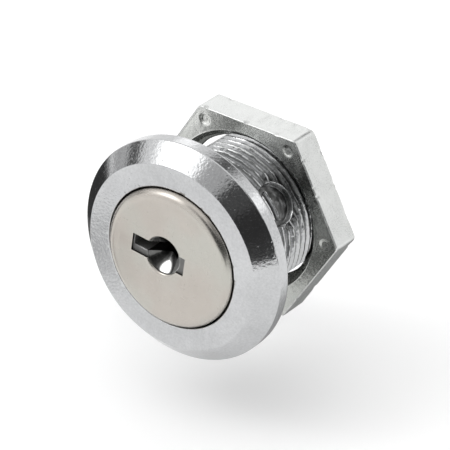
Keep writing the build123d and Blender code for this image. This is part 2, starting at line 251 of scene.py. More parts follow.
# ---------------------------------------------------------------- shader node helper
class Tree:
    """The node tree of a material or world. Methods add a node and return its output socket."""
    MIX_SOCKETS = {"FLOAT": (2, 0), "VECTOR": (4, 1), "RGBA": (6, 2)}   # first input, output

    def __init__(self, owner):
        owner.use_nodes = True
        self.tree = owner.node_tree
        self.tree.nodes.clear()

    def feed(self, node, inputs):
        """Sets each input to a value or links a socket to it."""
        for key, value in inputs.items():
            if isinstance(value, bpy.types.NodeSocket):
                self.tree.links.new(value, node.inputs[key])
            else:
                node.inputs[key].default_value = value

    def add(self, kind, inputs={}, **settings):
        node = self.tree.nodes.new("ShaderNode" + kind)
        for key, value in settings.items():
            setattr(node, key, value)
        self.feed(node, inputs)
        return node

    def math(self, operation, first, second=None, clamp=False):
        inputs = {0: first} if second is None else {0: first, 1: second}
        return self.add("Math", inputs, operation=operation, use_clamp=clamp).outputs[0]

    def product(self, first, second, clamp=False):
        return self.math("MULTIPLY", first, second, clamp)

    def total(self, first, second):
        return self.math("ADD", first, second)

    def distance(self, across, up):
        squares = self.total(self.product(across, across), self.product(up, up))
        return self.math("SQRT", squares)

    def remap(self, value, span, to=(0.0, 1.0), kind="LINEAR"):
        return self.add("MapRange", {
            "From Min": span[0], "From Max": span[1], "To Min": to[0], "To Max": to[1],
            "Value": value}, interpolation_type=kind).outputs["Result"]

    def mix(self, kind, factor, first, second):
        start, output = self.MIX_SOCKETS[kind]
        inputs = {0: factor, start: first, start + 1: second}
        return self.add("Mix", inputs, data_type=kind).outputs[output]

    def mix_color(self, factor, *colors):
        first, second = ((*c, 1.0) if isinstance(c, tuple) else c for c in colors)
        return self.mix("RGBA", factor, first, second)

    def noise(self, where, scale, detail, roughness, stretch=None):
        if stretch is not None:
            where = self.add("Mapping", {"Scale": stretch, "Vector": where}).outputs[0]
        return self.add("TexNoise", {"Scale": scale, "Detail": detail, "Roughness": roughness,
                                     "Vector": where}).outputs["Fac"]

    def bump(self, height, strength, depth_mm, normal=None):
        inputs = {"Strength": strength, "Distance": depth_mm * MM, "Height": height}
        if normal is not None:
            inputs["Normal"] = normal
        return self.add("Bump", inputs).outputs[0]

    def edge_wear(self):
        """0..1, high on outer edges: the turn between the bevelled and the plain normal."""
        bevel = self.add("Bevel", {"Radius": 0.25 * MM}, samples=4)
        plain = self.add("NewGeometry").outputs["Normal"]
        turn = self.add("VectorMath", {0: bevel.outputs[0], 1: plain}, operation="DOT_PRODUCT")
        return self.remap(turn.outputs["Value"], (0.995, 0.86))

    def tones(self, where, tone_scale, grain_scale, blotch):
        """Broad noise, fine grain and the two mixed; blotch is the grain's share."""
        broad = self.noise(where, tone_scale, detail=4.0, roughness=0.6)
        grain = self.noise(where, grain_scale, detail=5.0, roughness=0.62)
        mixed = self.total(self.product(broad, 1 - blotch), self.product(grain, blotch))
        return broad, grain, self.remap(mixed, (0.36, 0.64))


def material(name):
    """A new material, its tree, its shader and object coordinates in millimetres."""
    made = bpy.data.materials.new(name)
    tree = Tree(made)
    output = tree.add("OutputMaterial")
    shader = tree.add("BsdfPrincipled")
    tree.feed(output, {0: shader.outputs[0]})
    place = tree.add("TexCoord").outputs["Object"]
    where = tree.add("VectorMath", {0: place, 3: 1000.0}, operation="SCALE").outputs[0]
    return made, tree, shader, where


# ---------------------------------------------------------------- metals
GRAIN_STRENGTH = 0.6
# colour of the painted shade in recesses and hollows
PAINTED_SHADE_COLOR = (0.05, 0.05, 0.048)


def metal(name, dark, light, roughness, vary, tone_scale, grain_scale, grain_mm, blotch,
          wear=None, tint=None, painted_top_light=None, painted_shade=False, pits=None, scratches=0.0, waves=None):
    """A metal with broad tones and grain.

    vary: how far roughness strays; wear: edge colour; tint: (colour, patch scale);
    painted top light: (low, high, colour), paling the colour up the row's Z; painted shade: a flag,
    darkening by the mesh's shade attribute;
    pits: (depth, scale); scratches: depth; waves: (depth in mm, scale).
    """
    made, tree, shader, where = material(name)
    broad, grain, tone = tree.tones(where, tone_scale, grain_scale, blotch)
    color = tree.mix_color(tone, dark, light)
    rough = tree.remap(grain, (0.3, 0.7), to=(roughness - vary, roughness + vary))
    rough = tree.total(rough, tree.remap(broad, (0.3, 0.7), to=(-vary * 0.6, vary * 0.6)))
    if wear is not None:
        patchy = tree.remap(broad, (0.35, 0.6), to=(0.25, 1.0))
        worn = tree.product(tree.edge_wear(), patchy, clamp=True)
        color = tree.mix_color(worn, color, wear)
        rough = tree.product(rough, tree.remap(worn, (0, 1), to=(1.0, 0.7)))
    if tint is not None:
        patches = tree.noise(where, tint[1], detail=2.0, roughness=0.5)
        color = tree.mix_color(tree.remap(patches, (0.42, 0.62)), color, tint[0])
    # painted light: the colour paler towards the top, up the row's Z
    if painted_top_light is not None:
        height = tree.add("SeparateXYZ", {0: where}).outputs["Z"]
        upper = tree.remap(height, painted_top_light[:2], kind="SMOOTHSTEP")
        upper = tree.product(upper, tree.remap(grain, (0.3, 0.7), to=(0.75, 1.0)))
        color = tree.mix_color(upper, color, painted_top_light[2])
    # painted shade: the colour mixed towards the shade colour by the mesh's attribute, and rougher
    # there
    if painted_shade:
        depth = tree.add("Attribute", attribute_name="painted_shade_attr").outputs["Fac"]
        depth = tree.product(depth, 1.0, clamp=True)
        color = tree.mix_color(depth, color, PAINTED_SHADE_COLOR)
        rough = tree.total(rough, tree.product(depth, 0.25))
    relief = grain
    if pits is not None:
        cells = tree.add("TexVoronoi", {"Scale": pits[1], "Vector": where}).outputs["Distance"]
        dent = tree.remap(cells, (0.06, 0.22), to=(1.0, 0.0), kind="SMOOTHSTEP")
        relief = tree.math("SUBTRACT", relief, tree.product(dent, pits[0]))
    if scratches:
        # thin streaks crossing each other
        flat, upright = (tree.noise(where, 1.0, detail=2.0, roughness=0.5, stretch=stretch)
                         for stretch in ((0.6, 0.6, 14.0), (13.0, 0.7, 0.9)))
        lines = tree.math("MAXIMUM", tree.remap(flat, (0.66, 0.72)),
                          tree.remap(upright, (0.67, 0.73)))
        relief = tree.math("SUBTRACT", relief, tree.product(lines, scratches))
        rough = tree.total(rough, tree.product(lines, 0.10))
    normal = tree.bump(relief, GRAIN_STRENGTH, grain_mm)
    if waves is not None:
        swell = tree.noise(where, waves[1], detail=1.0, roughness=0.4)
        normal = tree.bump(swell, 1.0, waves[0], normal)
    tree.feed(shader, {"Base Color": color, "Metallic": 1.0, "Normal": normal,
                       "Roughness": tree.math("MAXIMUM", rough, 0.02)})
    return made


def plug_metal():
    """Rough cast zinc with a darker, glossier lead-in round the key opening, a painted highlight on
    its lower lip and painted shade towards its middle.
    """
    made, tree, shader, where = material("cast_zinc_plug")
    broad, grain, tone = tree.tones(where, tone_scale=0.8, grain_scale=6.0, blotch=0.5)
    cast = tree.mix_color(tone, (0.115, 0.115, 0.112), (0.175, 0.175, 0.17))
    lead = tree.mix_color(tone, (0.10, 0.10, 0.098), (0.17, 0.17, 0.166))
    # place relative to the hole's centre; the object's Z is the lock's y
    hole_x, hole_y = from_keyway(HOLE_U, HOLE_V)
    place = tree.add("SeparateXYZ", {0: where})
    across = tree.math("SUBTRACT", place.outputs["X"], hole_x)
    up = tree.math("SUBTRACT", place.outputs["Z"], hole_y)
    distance = tree.distance(across, up)
    inside = tree.remap(distance, (HOLE_R + 0.06, HOLE_R - 0.06))
    # the lead-in's right flank is left as cast
    flank = tree.product(tree.remap(across, (1.05, 1.35)), tree.remap(up, (0.75, 0.35)))
    inside = tree.product(inside, tree.math("SUBTRACT", 1.0, flank))
    # painted highlight: a bright oval 1.90 mm below the centre, on the lower lip
    lip = tree.distance(tree.product(across, 0.85), tree.total(up, 1.90))
    lip = tree.remap(lip, (0.80, 0.48), kind="SMOOTHSTEP")
    lead = tree.mix_color(lip, lead, (0.62, 0.62, 0.61))
    # painted shade: dark towards the middle of the hole
    middle = tree.remap(distance, (1.35, 0.85), to=(0.0, 0.85))
    lead = tree.mix_color(middle, lead, (0.02, 0.02, 0.02))
    patchy = tree.remap(broad, (0.35, 0.6), to=(0.2, 0.8))
    worn = tree.product(tree.edge_wear(), patchy, clamp=True)
    cast = tree.mix_color(worn, cast, (0.80, 0.80, 0.79))
    rough = tree.total(tree.remap(inside, (0, 1), to=(0.42, 0.17)),
                       tree.remap(grain, (0.3, 0.7), to=(-0.04, 0.04)))
    # the painted highlight's area is also dished a little in its normals, which gathers its
    # reflection
    dish = tree.add("VectorTransform", {0: (0.014, -0.710, 0.705)}, vector_type="NORMAL",
                    convert_from="OBJECT", convert_to="WORLD").outputs[0]
    share = tree.product(tree.product(lip, inside), 0.50)
    blend = tree.mix("VECTOR", share, tree.bump(grain, GRAIN_STRENGTH, depth_mm=0.006), dish)
    normal = tree.add("VectorMath", {0: blend}, operation="NORMALIZE").outputs[0]
    tree.feed(shader, {"Base Color": tree.mix_color(inside, cast, lead), "Roughness": rough,
                       "Metallic": tree.remap(inside, (0, 1), to=(0.35, 0.95)),
                       "Normal": normal})
    return made


CHROME = metal(
    "chrome_plate", dark=(0.455, 0.46, 0.466), light=(0.595, 0.60, 0.607), roughness=0.105,
    vary=0.03, tone_scale=0.14, grain_scale=3.6, grain_mm=0.0085, blotch=0.5,
    scratches=0.12, waves=(0.016, 3.2), pits=(1.4, 1.5))
CHROME_CAST = metal(
    "chrome_over_cast_thread", dark=(0.40, 0.405, 0.41), light=(0.59, 0.595, 0.60),
    roughness=0.13, vary=0.05, tone_scale=0.6, grain_scale=5.5, grain_mm=0.006, blotch=0.5,
    waves=(0.025, 2.2), painted_shade=True)
CHROME_REAR = metal(
    "chrome_rear", dark=(0.55, 0.555, 0.56), light=(0.66, 0.665, 0.67), roughness=0.16,
    vary=0.05, tone_scale=0.4, grain_scale=4.0, grain_mm=0.006, blotch=0.4,
    wear=(0.75, 0.75, 0.75))
# darker, rougher chrome for the cap's recess, the bezel's rear face and the barrel's flats; in the
# recess and behind the bezel it paints their shade
CHROME_PAINTED_SHADE = metal(
    "chrome_seat_painted_shade", dark=(0.20, 0.205, 0.20), light=(0.33, 0.335, 0.33),
    roughness=0.32, vary=0.06, tone_scale=0.4, grain_scale=4.0, grain_mm=0.006, blotch=0.4)
SATIN = metal(
    "satin_nickel", dark=(0.475, 0.441, 0.403), light=(0.530, 0.495, 0.456), roughness=0.25,
    vary=0.03, tone_scale=0.22, grain_scale=9.0, grain_mm=0.0020, blotch=0.4, scratches=0.35,
    wear=(0.62, 0.59, 0.55), tint=((0.500, 0.490, 0.450), 0.16), painted_shade=True)
NUT_SIDE = metal(
    "cast_zinc_nut_sides", dark=(0.56, 0.57, 0.56), light=(0.72, 0.73, 0.72), roughness=0.31,
    vary=0.06, tone_scale=0.35, grain_scale=6.5, grain_mm=0.012, blotch=0.55,
    wear=(0.70, 0.71, 0.70), waves=(0.02, 1.3))
# darker copy of the nut's zinc for its front and rear faces: painted shade where the bezel shades
# the front face; its upper part is painted lighter as painted light
NUT_FACE_PAINTED_SHADE = metal(
    "cast_zinc_nut_faces_painted_shade", dark=(0.40, 0.41, 0.395), light=(0.58, 0.59, 0.565), roughness=0.25,
    vary=0.05, tone_scale=0.22, grain_scale=5.5, grain_mm=0.010, blotch=0.45,
    wear=(0.66, 0.67, 0.65), waves=(0.014, 1.0), painted_top_light=(4.0, 11.5, (0.80, 0.81, 0.79)))
ZINC_PLUG = plug_metal()
BRASS = metal(
    "stamped_brass", dark=(0.52, 0.37, 0.15), light=(0.70, 0.53, 0.25), roughness=0.28,
    vary=0.06, tone_scale=0.7, grain_scale=8.0, grain_mm=0.004, blotch=0.45,
    wear=(0.85, 0.70, 0.42), scratches=0.5)
BRONZE = metal(
    "spring_bronze", dark=(0.42, 0.26, 0.12), light=(0.60, 0.40, 0.20), roughness=0.25,
    vary=0.05, tone_scale=1.5, grain_scale=14.0, grain_mm=0.003, blotch=0.4)
STEEL = metal(
    "zinc_plated_steel", dark=(0.50, 0.51, 0.535), light=(0.66, 0.67, 0.69), roughness=0.24,
    vary=0.06, tone_scale=0.25, grain_scale=5.0, grain_mm=0.006, blotch=0.5,
    wear=(0.80, 0.80, 0.81), scratches=0.6)


# ---------------------------------------------------------------- housing
# Rings here are (radius, z, material slot, painted shade).
PLATE, THREAD, REAR, SEAT = range(4)


def flat_radius(theta, angle):
    """Distance from the axis to the barrel's flat whose normal is at `angle`."""
    off = off_angle(theta, angle)
    return np.where(np.abs(off) < 1.2, FLAT / np.cos(np.clip(off, -1.2, 1.2)), NO_FLAT)


def bezel_rings(theta):
    """From the recess floor over the bezel to the barrel's root."""
    outline = rounded([
        # radius, z, corner radius, steps to the next corner
        (BORE, RECESS_Z, BORE_ROUND, 10), (RECESS_R, RECESS_Z, 0.25, 12),
        (RECESS_R, BEZEL_H, 0.15, 26), (RING_R, BEZEL_H, 0.25, 26), (BEZEL_R, BAND, 0.25, 14),
        (BEZEL_R, 0.0, 0.35, 34), (RELIEF_R, 0.0, 0.0, 3), (RELIEF_R, RELIEF, 0.08, 3),
        (ROOT, RELIEF, 0.12, 4), (ROOT, BEHIND_BEZEL, 0.0, 1), (BORE, BEHIND_BEZEL, 0.0, 1),
    ])
    # the two closing corners are left out and the bore corner's arc is put last
    outline = np.concatenate([outline[CORNER_STEPS:-2], outline[1:CORNER_STEPS]])
    rings = []
    for r, z in outline:
        radius, height = np.full_like(theta, r), np.full_like(theta, z)
        # shallow casting and polishing waves, cut inwards only
        wave = (noise_round(theta, 96, z * 1.1 + r * 1.1 + 40, 5) * 0.0022
                + noise_round(theta, 220, z * 2.3 + r * 2.3 + 9, 6) * 0.0012)
        if z > 1.0:
            height = height + np.minimum(wave, 0) - 0.001
        elif z > 0.3:
            radius = radius + np.minimum(wave, 0) - 0.001
        radius = np.where(radius > BEZEL_R - 0.2, radius - 0.006, radius)
        if r < 9.4 and z > 3.7:
            # nicks along the recess's edge
            nick = smooth(noise_round(theta, 130, 3.4, 8), 0.30, 0.85)
            height = height - 0.07 * nick * smooth(-r, -9.42, -9.12)
            radius = radius + 0.035 * nick * (r < 9.2)
        # the recess's wall and floor and the bezel's rear face take the darker seat chrome, as
        # painted shade
        seat = (z < 0.3 and r < 13.9) or (r < 9.03 and z < 3.82)
        rings.append((radius, height, SEAT if seat else PLATE, 0.0))
    return rings


def barrel_ring(theta, z):
    """One ring of the barrel: worn thread, two flats and the round mark."""
    from_mark = off_angle(theta, MARK_ANGLE)
    mark_side = np.abs(from_mark) < 1.0
    mark_distance = np.hypot(MARK_SURFACE * np.sin(from_mark), z - MARK_Z)
    rearward = (MARK_Z - z) / np.maximum(mark_distance, 0.1)
    # band round the mark's rear half where the thread is pressed down
    pressed = (1 - smooth(mark_distance, MARK_R + 0.25, MARK_R + 1.3)) \
        * smooth(rearward, -0.2, 0.5) * mark_side

    # thread, fading out at both ends of the barrel
    distance, nearest = crest_distance(theta, z, THREAD_Z0)
    ridge = np.clip((0.43 - distance) / 0.33, 0, 1)
    ridge = ridge * smooth(z, -15.55, -15.1) * smooth(-z, 0.55, 0.95)
    # wear follows the crest along the helix, so it runs on from turn to turn
    along = (nearest + theta / FULL_TURN) * 150
    worn = np.clip(noise(along, 3.5, 21, 4096, 8), 0, 1)
    chips = smooth(noise(along * 2.1, 5.5, 22, 8192, 8), 0.72, 1.0)
    crest = ((CREST - ROOT) - 0.045 * worn - 0.13 * chips) * (1 - 0.70 * pressed)
    grain = noise_round(theta, 150, z * 1.9 + 200, 24, 128) * 0.006
    radius = ROOT + ridge * crest + np.minimum(grain, 0.0)
    # painted shade on the thread next to the nut
    nut_shade = np.exp(-(off_angle(theta, 44) / math.radians(15)) ** 2) * smooth(-z, 7.0, 8.6)
    # painted shade: dark in the thread's roots, next to the nut and on the pressed band
    painted_shade = 0.62 * (1 - smooth(ridge, 0.05, 0.55)) + 0.45 * nut_shade + 0.30 * pressed

    on_flat = np.zeros_like(theta, bool)
    if z < -0.3:
        for angle in FLAT_ANGLES:
            flat = flat_radius(theta, angle)
            flat = flat + noise_round(theta, 200, z * 1.5 + 30, 26) * 0.006 - 0.006
            painted_shade = np.where(flat < radius, 0.05, painted_shade)
            on_flat |= flat < radius
            radius = np.minimum(radius, flat)

    # the mark's uneven floor, with short thread remnants in its front half
    floor = (MARK_FLOOR + noise_round(theta, 60, z * 0.8 + 10, 27) * 0.016
             + noise_round(theta, 240, z * 3.3 + 50, 28) * 0.018)
    distance, _ = crest_distance(theta, z, THREAD_Z0 + 0.45)
    remnant = np.clip((0.29 - distance) / 0.17, 0, 1) \
        * smooth(z, MARK_Z, MARK_Z + 0.12) * (1 - smooth(mark_distance, 1.85, 2.0))
    floor = floor + remnant * 0.42
    inside = 1 - smooth(mark_distance, MARK_R - 0.09, MARK_R + 0.03)
    # raised burr round the rear half
    rim = np.exp(-((mark_distance - MARK_R - 0.09) / 0.09) ** 2) * smooth(rearward, -0.15, 0.5)
    burr = np.maximum(radius, ROOT + 0.56 * rim)
    radius = np.where(mark_side, burr * (1 - inside) + floor * inside, radius)
    # painted shade on the mark's floor, lighter on the thread remnants and lifted off along the
    # burr
    shade = 0.80 - 1.3 * remnant + 0.20 * noise_round(theta, 110, z * 1.7 + 70, 29)
    marked = painted_shade * (1 - inside) + inside * np.clip(shade, 0, 1)
    marked = marked * (1 - 0.95 * np.clip(rim * 1.6, 0, 1))
    painted_shade = np.where(mark_side, marked, painted_shade)
    return np.minimum(radius, CREST), z, np.where(on_flat, SEAT, THREAD), painted_shade


def bore_radius(theta, z):
    """The bore, with four flat-bottomed grooves behind GROOVE_Z."""
    radius = np.full_like(theta, BORE)
    if z >= GROOVE_Z:
        return radius
    for k in range(4):
        off = np.abs(np.clip(off_angle(theta, SLOT_ANGLE + 90 * k), -0.7, 0.7))
        side = (GROOVE_W / 2) / np.maximum(np.sin(off), 1e-6)
        groove = np.minimum(GROOVE_R / np.cos(off), side)
        radius = np.maximum(radius, np.where(off < 0.69, groove, BORE))
    return np.minimum(radius, GROOVE_R + 0.35)


def rear_rings(theta):
    """From the thread's end over the rear face and its tabs, then forwards up the bore."""
    rear = -BARREL
    bore = bore_radius(theta, rear)
    inner = np.maximum(BORE + 0.25, bore)
    flat = np.minimum(*(flat_radius(theta, angle) for angle in FLAT_ANGLES))
    tab = np.zeros_like(theta, bool)
    for start, end in TAB_SPANS:
        half = math.radians((end - start) / 2)
        tab |= np.abs(off_angle(theta, (start + end) / 2)) < half
    tab_top = np.where(tab, rear - TAB_H, rear)
    tab_shoulder = np.where(tab, rear - TAB_H + TAB_BEVEL, rear)
    rings = [
        # radius, z
        (np.minimum(ROOT, flat), rear + 0.42),
        (np.minimum(ROOT - 0.2, flat), rear + 0.22),
        (np.minimum(ROOT - 0.4, flat - 0.05), rear + 0.04),
        (np.minimum(ROOT - 0.45, flat - 0.08), rear),
        (TAB_R1 + 0.02, rear),
        (TAB_R1, tab_shoulder),
        (TAB_R1 - TAB_BEVEL, tab_top),
        ((TAB_R0 + TAB_R1) / 2, tab_top),
        (np.maximum(TAB_R0 + TAB_BEVEL, inner + 0.02), tab_top),
        (np.maximum(TAB_R0, inner + 0.015), tab_shoulder),
        (np.maximum(TAB_R0 - 0.02, inner + 0.01), rear),
        (np.maximum((inner + TAB_R0) / 2 - 0.05, inner + 0.005), rear),
        (inner, rear),
        (bore, rear + 0.25),
    ]
    steps = [*np.linspace(-15.0, 0.0, 16), GROOVE_Z - 0.01, GROOVE_Z, 0.75, 1.0,
             RECESS_Z - BORE_ROUND]
    rings += [(bore_radius(theta, z), z) for z in steps]
    for k in range(1, 5):
        angle = k / 5 * math.pi / 2
        rings.append((BORE + BORE_ROUND * (1 - math.cos(angle)),
                      RECESS_Z - BORE_ROUND * (1 - math.sin(angle))))
    return [(radius, z, REAR, 0.0) for radius, z in rings]


def build_housing():
    theta = ring_angles([angle for span in TAB_SPANS for angle in span],
                        (MARK_ANGLE - MARK_FINE_ANGLE, MARK_ANGLE + MARK_FINE_ANGLE, 0.2))
    heights = np.concatenate([
        np.arange(-0.20, MARK_Z + MARK_FINE_Z, -0.0625),
        np.arange(MARK_Z + MARK_FINE_Z, MARK_Z - MARK_FINE_Z, -0.034),
        np.arange(MARK_Z - MARK_FINE_Z, -15.56, -0.0625),
    ])
    rings = bezel_rings(theta) + [barrel_ring(theta, z) for z in heights] + rear_rings(theta)
    radius, z, slots, painted_shade = (column(rings, k, theta) for k in range(4))
    add_piece("housing_shell", turned(radius, z, theta), "lock_body",
              "housing", [CHROME, CHROME_CAST, CHROME_REAR, CHROME_PAINTED_SHADE], 40.0, slots, painted_shade)


# ---------------------------------------------------------------- hex nut
# Rings here are (radius, z). outward is +1 on the front face and -1 on the rear one.
def hex_radius(theta, inset=0.0):
    """Distance from the axis to a hexagon with round corners, at each angle."""
    apothem, rounding = NUT_AF / 2 - inset, NUT_CORNER - inset
    off = (np.degrees(theta) - NUT_ANGLE - 30) % 60
    off = np.radians(np.where(off > 30, off - 60, off))     # from the nearest flat's normal
    flat = apothem / np.cos(off)
    centre = (apothem - rounding) / math.cos(math.radians(30))
    to_corner = math.radians(30) - np.abs(off)
    under_root = np.maximum(rounding ** 2 - (centre * np.sin(to_corner)) ** 2, 0)
    corner = centre * np.cos(to_corner) + np.sqrt(under_root)
    flat_end = math.atan((apothem - rounding) * math.tan(math.radians(30)) / apothem)
    return np.where(np.abs(off) < flat_end, flat, corner)


def nut_knocks(theta):
    """Depth of the small knocks along the front and along the rear edge."""
    rng = np.random.default_rng(77)
    front, rear = np.zeros_like(theta), np.zeros_like(theta)
    for k in range(46):
        angle, width, depth = rng.uniform(0, 360), rng.uniform(0.6, 1.8), rng.uniform(0.04, 0.14)
        edge = rear if k % 2 else front
        dent = depth * np.exp(-((off_angle(theta, angle) / math.radians(width)) ** 2))
        np.maximum(edge, dent, out=edge)
    return front, rear


def nut_hole(theta):
    """Threaded hole with a countersink at each end, from front to rear."""
    rings = []
    for z in np.arange(NUT_FRONT, NUT_BACK - 1e-6, -0.06):
        distance, _ = crest_distance(theta, z, THREAD_Z0 - 0.5)
        ridge = np.clip((0.33 - distance) / 0.27, 0, 1)
        radius = NUT_MAJOR - ridge * (NUT_MAJOR - NUT_MINOR)
        cone = np.maximum(NUT_SINK - (NUT_FRONT - z), NUT_SINK - (z - NUT_BACK))
        grain = 0.012 * (1 + noise_round(theta, 300, z * 5 + 90, 41, 128)) * 0.5
        rings.append((np.maximum(radius, cone) + grain, z))
    return rings + [(NUT_SINK, NUT_BACK)]


def nut_face(theta, z, outward):
    """Uneven face, from the hole outwards; the front one has a dimple near each corner."""
    rings = []
    for t in np.linspace(0, 1, 24)[1:]:
        radius = NUT_SINK + (hex_radius(theta, NUT_EDGE) - NUT_SINK) * t
        grain = (noise_round(theta, 260, radius * 3.1 + 7, 51, 128) * 0.010
                 + noise_round(theta, 70, radius * 0.8 + 3, 52) * 0.018)
        depth = 0.014 + np.maximum(grain, -0.014) * 0.5
        if outward > 0:
            for k in range(6):
                angle = math.radians(NUT_ANGLE + 60 * k)
                distance = np.hypot(radius * np.cos(theta) - DIMPLE_AT * math.cos(angle),
                                    radius * np.sin(theta) - DIMPLE_AT * math.sin(angle))
                depth = depth + 0.20 * (1 - smooth(distance, 0.45, 0.80))
        depth = depth * (1 if t < 0.999 else 0.3)
        rings.append((radius, z - outward * depth))
    return rings


def nut_edge(theta, z, outward, knocks):
    """Rounded edge, from the face to the sides."""
    rings = []
    for k in range(1, 6):
        angle = k / 6 * math.pi / 2
        cos, sin = math.cos(angle), math.sin(angle)
        radius = hex_radius(theta, NUT_EDGE * (1 - sin)) - knocks * 0.9 * (0.6 + 0.4 * sin)
        rings.append((radius, z - outward * (NUT_EDGE * (1 - cos) + knocks * 0.5)))
    return rings


def nut_sides(theta, front_knocks, rear_knocks):
    low, high = NUT_BACK + NUT_EDGE, NUT_FRONT - NUT_EDGE
    rings = []
    for z in np.linspace(low, high, 34):
        near_front = np.exp(-((z - high) / 0.25) ** 2)
        near_rear = np.exp(-((z - low) / 0.25) ** 2)
        grain = (noise_round(theta, 420, z * 5.2 + 55, 61, 128) * 0.010
                 + noise_round(theta, 90, z * 1.3 + 21, 62) * 0.014)
        rings.append((hex_radius(theta) - 0.012 + np.minimum(grain, 0.012)
                      - front_knocks * near_front - rear_knocks * near_rear, z))
    return rings


def build_nut():
    theta = ring_angles([NUT_ANGLE + 60 * k + side for k in range(6) for side in (-1.4, 0, 1.4)])
    front_knocks, rear_knocks = nut_knocks(theta)
    rear = nut_hole(theta) + nut_face(theta, NUT_BACK, -1)
    sides = (nut_edge(theta, NUT_BACK, -1, rear_knocks)
             + nut_sides(theta, front_knocks, rear_knocks)
             + nut_edge(theta, NUT_FRONT, 1, front_knocks)[::-1])
    front = nut_face(theta, NUT_FRONT, 1)[::-1]
    rings = rear + sides + front
    radius = column(rings, 0, theta)
    z = np.clip(column(rings, 1, theta), NUT_BACK, NUT_FRONT)
    slots = np.repeat([1] * len(rear) + [0] * len(sides) + [1] * len(front), len(theta))
    add_piece("hex_nut_body", turned(radius, z, theta), "nut", "hex_nut",
              [NUT_SIDE, NUT_FACE_PAINTED_SHADE], 36.0, slots)


# ---------------------------------------------------------------- face cap
def keyhole(phi, hole_grow=0.0, slot_grow=0.0):
    """Key opening's outline as a distance from the hole's centre at each angle phi in the
    keyway's frame, and a weight that is 1 on the hole and 0 on the slot."""
    cos, sin = np.cos(phi), np.sin(phi)
    tiny = 1e-9
    to_end = np.where(cos > 0, (KEY_U1 + slot_grow - HOLE_U) / np.maximum(cos, tiny),
                      (KEY_U0 - slot_grow - HOLE_U) / np.minimum(cos, -tiny))
    to_side = np.where(sin > 0, (KEY_V1 + slot_grow - HOLE_V) / np.maximum(sin, tiny),
                       (KEY_V0 - slot_grow - HOLE_V) / np.minimum(sin, -tiny))
    slot = np.minimum(to_end, to_side)
    hole = HOLE_R + hole_grow
    return np.maximum(slot, hole), 1.0 - smooth(slot - hole, -0.02, 0.10)


def keyhole_corners():
    """Angles in degrees of the slot's corners and of its crossings with the hole."""
    corners = [math.atan2(v - HOLE_V, u - HOLE_U)
               for u in (KEY_U0, KEY_U1) for v in (KEY_V0, KEY_V1)]
    for v in (KEY_V0, KEY_V1):
        reach = math.sqrt(HOLE_R ** 2 - (v - HOLE_V) ** 2)
        corners += [math.atan2(v - HOLE_V, -reach), math.atan2(v - HOLE_V, reach)]
    return np.degrees(corners)


# Cap's wall and curled lip, from the outside in: radius, height above the lip's end
LIP_OUTLINE = [
    (CAP_R, 0.40), (CAP_R, 0.10), (CAP_R - 0.03, 0.03), (CAP_R - 0.1, 0.0), (8.31, 0.0),
    (8.23, 0.04), (8.21, 0.10), (8.21, 0.28), (CAP_INNER_R, 0.28),
]


def build_cap():
    phi = ring_angles(keyhole_corners())
    lock_angle = phi + math.radians(SLOT_ANGLE)

    def round_hole(radius):
        return np.stack(from_keyway(HOLE_U + radius * np.cos(phi),
                                    HOLE_V + radius * np.sin(phi)), -1)

    def round_axis(radius):
        return np.stack([radius * np.cos(lock_angle), radius * np.sin(lock_angle)], -1)

    # rounded lip of the opening, from the underside up to the face
    rings = [(round_hole(keyhole(phi)[0]), CAP_UNDER)]
    # painted shade on the wall of the opening, fading out up the lip's rounding
    lip_painted_shade = [1.0]
    for k in range(9):
        angle = k / 8 * math.pi / 2
        spread = 1 - math.cos(angle)
        radius, on_hole = keyhole(phi, 0.42 * spread, 0.07 * spread)
        drop = (0.32 * on_hole + 0.06 * (1 - on_hole)) * (1 - math.sin(angle))
        rings.append((round_hole(radius), CAP_FRONT - drop))
        lip_painted_shade.append(max(0.0, 0.9 - k / 3.0))
    # face, from the opening to the start of the rounded edge
    opening, rim = rings[-1][0], round_axis(CAP_R - CAP_EDGE)
    for k in range(1, 41):
        t = (k / 40) ** 1.15
        rings.append((opening * (1 - t) + rim * t, CAP_FRONT))
    for k in range(1, 15):
        angle = k / 14 * math.pi / 2
        rings.append((round_axis(CAP_R - CAP_EDGE + CAP_EDGE * math.sin(angle)),
                      CAP_FRONT - CAP_EDGE * (1 - math.cos(angle))))
    rings += [(round_axis(radius), CAP_LIP + height) for radius, height in LIP_OUTLINE]
    # inside of the rounded edge, then back along the underside to the opening
    bend = CAP_EDGE - CAP_T
    for angle in np.radians([90, 75, 60, 45, 30, 15, 0]):
        rings.append((round_axis(CAP_INNER_R - bend + bend * math.sin(angle)),
                      CAP_UNDER - bend + bend * math.cos(angle)))
    start = rings[-1][0]
    rings += [(start * (1 - t) + rings[0][0] * t, CAP_UNDER) for t in (0.25, 0.5, 0.75)]

    places = np.array([place for place, _ in rings])
    z = column(rings, 1, phi)
    # a pressed cap is never dead flat
    x, y = places[..., 0], places[..., 1]
    sag = (noise(x * 0.45 + 20, y * 0.45 + 20, 81) * 0.006
           + noise(x * 1.6 + 20, y * 1.6 + 20, 82) * 0.0016)
    on_face = (smooth(z, CAP_FRONT - 0.25, CAP_FRONT - 0.05)
               * smooth(-np.hypot(x, y), -7.6, -6.9))
    z = z - on_face * (0.008 + sag)
    painted_shade = np.zeros_like(z)
    painted_shade[:len(lip_painted_shade)] = np.array(lip_painted_shade)[:, None]
    add_piece("face_cap_shell", np.concatenate([places, z[..., None]], -1), "plug",
              "face_cap", [SATIN], 38.0, painted_shade=painted_shade)


build_housing()
build_nut()
build_cap()


# ---------------------------------------------------------------- CAD pieces
def dress(name, look):
    materials = NODES[name].data.materials
    materials.clear()
    materials.append(look)


dress("plug", ZINC_PLUG)
for name in ("stop_washer", "cam", "lock_washer", "cam_screw"):
    dress(name, STEEL)
for i in range(1, 8):
    dress(f"wafer_{i}", BRASS)
    dress(f"wafer_spring_{i}", BRONZE)

